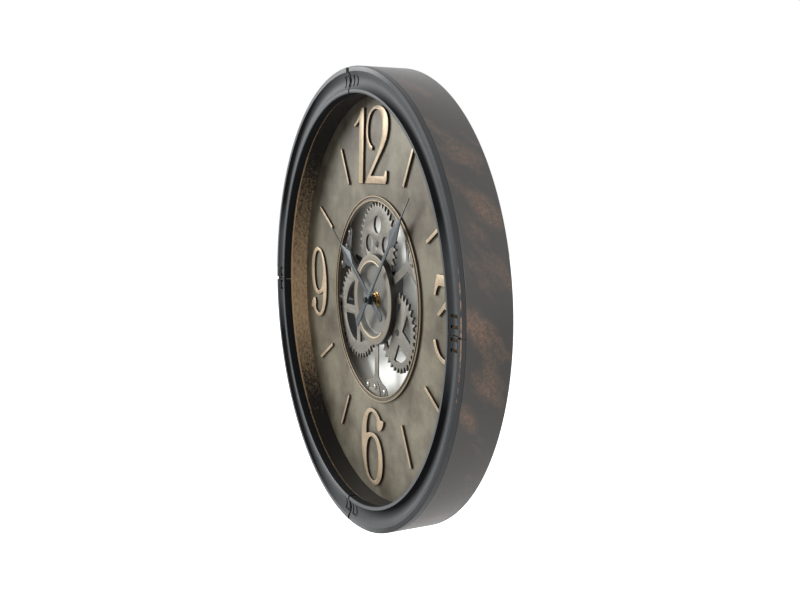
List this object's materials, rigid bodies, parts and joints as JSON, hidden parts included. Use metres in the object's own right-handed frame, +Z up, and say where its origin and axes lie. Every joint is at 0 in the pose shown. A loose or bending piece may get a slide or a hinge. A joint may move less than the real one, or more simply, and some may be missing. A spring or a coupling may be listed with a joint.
{
  "type": "wall clock",
  "caption": "Round metal wall clock with a deep drum, ring dial, open centre with turning gears, disc hub and two hands.",
  "frame": {"origin": "centre of the bounding box, on the clock's turning axis, half way through its depth", "axes": "+Z up to 12 o'clock, +Y back to the wall, +X to 3 o'clock; the face looks to -Y"},
  "size_m": [0.46, 0.049, 0.46],
  "materials": {
    "charcoal": "satin charcoal enamel",
    "copper_brown": "mottled copper-brown patina",
    "liner_bronze": "black-brown with rubbed gold bronze",
    "dial_bronze": "brushed grey bronze",
    "pale_gold": "satin pale gold",
    "gear_bronze": "brushed grey bronze, dark edges",
    "hand_grey": "satin blue grey",
    "brass": "turned",
    "steel": "bright zinc-plated",
    "black_steel": "matt black",
    "black_plastic": "moulded",
    "cell_wrap": "printed-free shrink sleeve"
  },
  "bodies": {
    "clock": {"bezel_upper_right": "charcoal", "bezel_upper_left": "charcoal", "bezel_lower_left": "charcoal", "bezel_lower_right": "charcoal", "drum": "copper_brown", "liner": "liner_bronze", "dial": "dial_bronze", "window_ring": "pale_gold", "numeral_12_one": "pale_gold", "numeral_12_two": "pale_gold", "numeral_3": "pale_gold", "numeral_6": "pale_gold", "numeral_9": "pale_gold", "baton_1": "pale_gold", "baton_2": "pale_gold", "baton_4": "pale_gold", "baton_5": "pale_gold", "baton_7": "pale_gold", "baton_8": "pale_gold", "baton_10": "pale_gold", "baton_11": "pale_gold", "centre_disc": "gear_bronze", "arm_lower": "gear_bronze", "arm_right": "gear_bronze", "arm_left": "gear_bronze", "threaded_bush": "brass", "hub_washer": "brass", "hex_nut": "brass", "foot_screw_lower_first": "steel", "foot_screw_lower_middle": "steel", "foot_screw_lower_last": "steel", "foot_screw_right_first": "steel", "foot_screw_right_middle": "steel", "foot_screw_right_last": "steel", "foot_screw_left_first": "steel", "foot_screw_left_middle": "steel", "foot_screw_left_last": "steel", "idler_axle": "steel", "axle_top": "black_steel", "axle_left": "black_steel", "axle_right": "black_steel", "bridge": "black_steel", "pillar_lower": "black_steel", "pillar_right": "black_steel", "pillar_left": "black_steel", "hanger": "black_steel", "movement_case": "black_plastic", "drive_case": "black_plastic", "movement_battery": "cell_wrap", "drive_battery": "cell_wrap"},
    "left_gear": {"gear_left": "gear_bronze"},
    "top_gear": {"gear_top": "gear_bronze"},
    "right_gear": {"gear_right": "gear_bronze"},
    "idler": {"idler_pinion": "brass"},
    "drive": {"drive_pinion": "brass"},
    "minute": {"minute_hand": "hand_grey", "hand_cap": "black_steel"},
    "hour": {"hour_hand": "hand_grey"},
    "knob": {"setting_knob": "black_plastic"},
    "switch": {"drive_switch": "steel"}
  },
  "joints": [
    {"name": "left_gear_turn", "type": "hinge", "parent": "clock", "child": "left_gear", "pos_m": [-0.05142, 0.0094, -0.01931], "axis": [0, 1, 0], "continuous": true},
    {"name": "top_gear_turn", "type": "hinge", "parent": "clock", "child": "top_gear", "pos_m": [-0.0027, 0.0094, 0.056], "axis": [0, 1, 0], "continuous": true},
    {"name": "idler_turn", "type": "hinge", "parent": "clock", "child": "idler", "pos_m": [0.01609, 0.0094, 0.00902], "axis": [0, 1, 0], "continuous": true},
    {"name": "right_gear_turn", "type": "hinge", "parent": "clock", "child": "right_gear", "pos_m": [0.04608, 0.0094, -0.02736], "axis": [0, 1, 0], "continuous": true},
    {"name": "drive_turn", "type": "hinge", "parent": "clock", "child": "drive", "pos_m": [-0.1051, 0.0094, -0.03992], "axis": [0, 1, 0], "continuous": true},
    {"name": "minute_hand_turn", "type": "hinge", "parent": "clock", "child": "minute", "pos_m": [0, -0.0045, 0], "axis": [0, 1, 0], "continuous": true},
    {"name": "hour_hand_turn", "type": "hinge", "parent": "clock", "child": "hour", "pos_m": [0, -0.0001, 0], "axis": [0, 1, 0], "continuous": true},
    {"name": "setting_knob_turn", "type": "hinge", "parent": "clock", "child": "knob", "pos_m": [-0.012, 0.0207, 0], "axis": [0, 1, 0], "continuous": true},
    {"name": "drive_switch_slide", "type": "slide", "parent": "clock", "child": "switch", "axis": [1, 0, 0], "range_m": [0, 0.003]}
  ],
  "couplings": [
    {"joint": "top_gear_turn", "follows": "left_gear_turn", "ratio": -1.1667},
    {"joint": "idler_turn", "follows": "left_gear_turn", "ratio": 5.25},
    {"joint": "right_gear_turn", "follows": "left_gear_turn", "ratio": -1.2727},
    {"joint": "drive_turn", "follows": "left_gear_turn", "ratio": -5.25},
    {"joint": "hour_hand_turn", "follows": "minute_hand_turn", "ratio": 0.083333},
    {"joint": "setting_knob_turn", "follows": "minute_hand_turn", "ratio": -0.33333}
  ]
}
